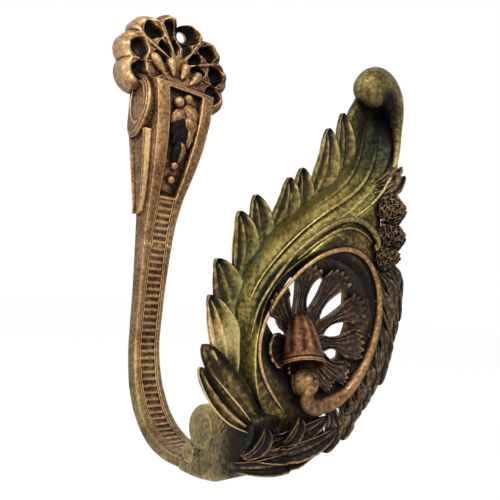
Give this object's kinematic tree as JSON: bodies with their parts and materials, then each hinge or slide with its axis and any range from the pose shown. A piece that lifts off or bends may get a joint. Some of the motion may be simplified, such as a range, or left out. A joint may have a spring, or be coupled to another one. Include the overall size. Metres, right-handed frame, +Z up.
{
  "type": "curtain tieback hook",
  "caption": "Wall-mounted curtain tieback hook: scallop shell plate, scrolled bracket and U-shaped ladder arm that carries a pierced rococo leaf plate.",
  "frame": {"origin": "centre of the screw hole in the shell, on the wall plane", "axes": "+Z up, +Y into the wall, -Y out into the room, X along the wall; the arm's middle plane is at x = -6.5 mm"},
  "size_m": [0.0843, 0.1048, 0.1932],
  "materials": {
    "antique_brass": "aged satin casting with green and dark patina"
  },
  "bodies": {
    "root": {"tieback_hook": "antique_brass"}
  },
  "joints": []
}
